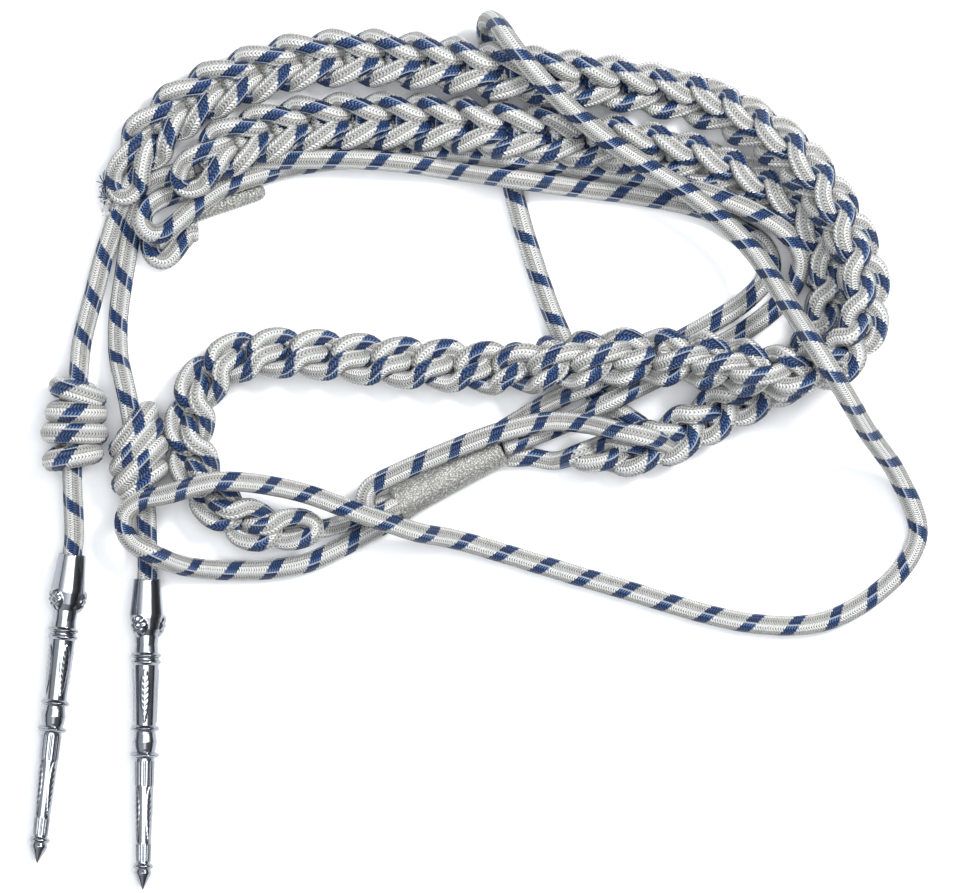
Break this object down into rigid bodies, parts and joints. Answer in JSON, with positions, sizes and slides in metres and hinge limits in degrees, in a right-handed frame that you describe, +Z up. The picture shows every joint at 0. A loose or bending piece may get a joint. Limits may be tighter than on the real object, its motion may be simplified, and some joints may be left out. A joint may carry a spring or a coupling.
{
  "type": "aiguillette",
  "caption": "Aiguillette of plaited and plain round cord with a bound sleeve and two engraved metal tips, lying flat.",
  "frame": {"origin": "middle of the binding sleeve's flat sewn underside, on the surface it lies on", "axes": "+Z up from the surface, -Y the way the metal tips point, +X from the chest end towards the plaits' bend"},
  "size_m": [0.2516, 0.2456, 0.0383],
  "materials": {
    "cord": "satin",
    "tips": "polished",
    "bullion": "satin"
  },
  "bodies": {
    "root": {"long_plait_lower": "cord", "long_plait_upper": "cord", "short_plait": "cord", "long_plait_lead": "cord", "short_plait_lead": "cord", "chest_bight": "cord", "arm_loop_cord": "cord", "double_cord": "cord", "joining_cord": "cord", "tip_cord_left": "cord", "tip_cord_right": "cord", "tip_knot_left": "cord", "tip_knot_right": "cord", "tip_left": "tips", "tip_right": "tips", "binding_sleeve": "bullion", "binding_tongue": "bullion"}
  },
  "joints": []
}
